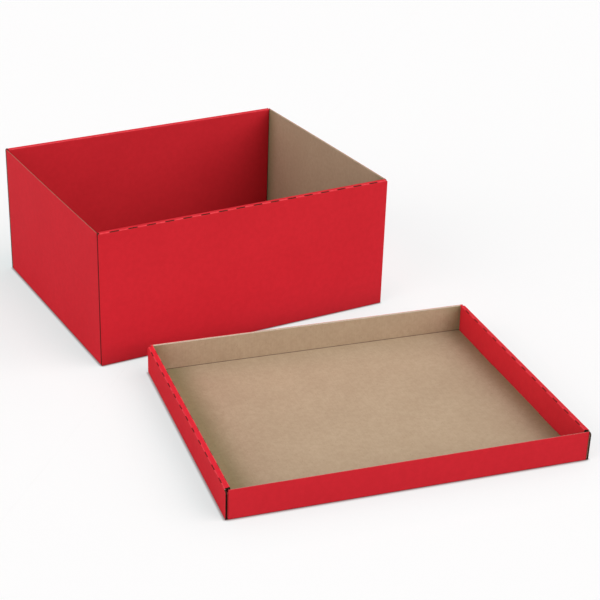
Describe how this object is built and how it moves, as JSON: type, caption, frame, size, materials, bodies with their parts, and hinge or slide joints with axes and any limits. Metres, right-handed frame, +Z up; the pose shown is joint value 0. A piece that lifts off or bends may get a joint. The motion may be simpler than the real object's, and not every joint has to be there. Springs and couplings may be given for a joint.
{
  "type": "gift box",
  "caption": "Folding corrugated-board gift box: a deep tray with rolled double walls, and its shallow tray lid lying open beside it.",
  "frame": {"origin": "middle of the base's underside", "axes": "+Z up, +X along the base's rolled long walls to its right end, +Y towards its back; the lid lies inside up in front, on -Y, turned 10.4 degrees clockwise from above"},
  "size_m": [0.4092, 0.66, 0.153],
  "materials": {
    "red_board": "satin red-coated face outside, bare kraft-brown face inside, raw fluted cut edges"
  },
  "bodies": {
    "base": {"base_floor": "red_board", "base_front_outer_wall": "red_board", "base_back_outer_wall": "red_board"},
    "base_front_strip": {"base_front_rim_strip": "red_board"},
    "base_front_inner": {"base_front_inner_wall": "red_board"},
    "base_back_strip": {"base_back_rim_strip": "red_board"},
    "base_back_inner": {"base_back_inner_wall": "red_board"},
    "base_left_side": {"base_left_wall": "red_board", "base_left_ear_front": "red_board", "base_left_ear_back": "red_board"},
    "base_right_side": {"base_right_wall": "red_board", "base_right_ear_front": "red_board", "base_right_ear_back": "red_board"},
    "lid": {"lid_top_panel": "red_board", "lid_right_outer_wall": "red_board", "lid_left_outer_wall": "red_board"},
    "lid_right_strip": {"lid_right_rim_strip": "red_board"},
    "lid_right_inner": {"lid_right_inner_wall": "red_board"},
    "lid_left_strip": {"lid_left_rim_strip": "red_board"},
    "lid_left_inner": {"lid_left_inner_wall": "red_board"},
    "lid_front_side": {"lid_front_wall": "red_board", "lid_front_ear_right": "red_board", "lid_front_ear_left": "red_board"},
    "lid_back_side": {"lid_back_wall": "red_board", "lid_back_ear_right": "red_board", "lid_back_ear_left": "red_board"}
  },
  "joints": [
    {"name": "base_front_strip_fold", "type": "hinge", "parent": "base", "child": "base_front_strip", "pos_m": [0, -0.14, 0.153], "axis": [1, 0, 0], "range_deg": [0, 90]},
    {"name": "base_front_inner_fold", "type": "hinge", "parent": "base_front_strip", "child": "base_front_inner", "pos_m": [0, -0.1344, 0.153], "axis": [1, 0, 0], "range_deg": [0, 90]},
    {"name": "base_back_strip_fold", "type": "hinge", "parent": "base", "child": "base_back_strip", "pos_m": [0, 0.14, 0.153], "axis": [-1, 0, 0], "range_deg": [0, 90]},
    {"name": "base_back_inner_fold", "type": "hinge", "parent": "base_back_strip", "child": "base_back_inner", "pos_m": [0, 0.1344, 0.153], "axis": [-1, 0, 0], "range_deg": [0, 90]},
    {"name": "base_left_wall_fold", "type": "hinge", "parent": "base", "child": "base_left_side", "pos_m": [-0.175, 0, 0], "axis": [0, -1, 0], "range_deg": [0, 90]},
    {"name": "base_right_wall_fold", "type": "hinge", "parent": "base", "child": "base_right_side", "pos_m": [0.175, 0, 0], "axis": [0, 1, 0], "range_deg": [0, 90]},
    {"name": "lid_lift", "type": "slide", "parent": "base", "child": "lid", "axis": [0, 0, 1], "range_m": [0, 0.2]},
    {"name": "lid_right_strip_fold", "type": "hinge", "parent": "lid", "child": "lid_right_strip", "pos_m": [0.19551, -0.37956, 0.032], "axis": [0.1805, 0.9836, 0], "range_deg": [0, 90]},
    {"name": "lid_right_inner_fold", "type": "hinge", "parent": "lid_right_strip", "child": "lid_right_inner", "pos_m": [0.19001, -0.37855, 0.032], "axis": [0.1805, 0.9836, 0], "range_deg": [0, 90]},
    {"name": "lid_left_strip_fold", "type": "hinge", "parent": "lid", "child": "lid_left_strip", "pos_m": [-0.16211, -0.31393, 0.032], "axis": [-0.1805, -0.9836, 0], "range_deg": [0, 90]},
    {"name": "lid_left_inner_fold", "type": "hinge", "parent": "lid_left_strip", "child": "lid_left_inner", "pos_m": [-0.1566, -0.31494, 0.032], "axis": [-0.1805, -0.9836, 0], "range_deg": [0, 90]},
    {"name": "lid_front_wall_fold", "type": "hinge", "parent": "lid", "child": "lid_front_side", "pos_m": [-0.00908, -0.4872, 0], "axis": [0.9836, -0.1805, 0], "range_deg": [0, 90]},
    {"name": "lid_back_wall_fold", "type": "hinge", "parent": "lid", "child": "lid_back_side", "pos_m": [0.04248, -0.20629, 0], "axis": [-0.9836, 0.1805, 0], "range_deg": [0, 90]}
  ]
}
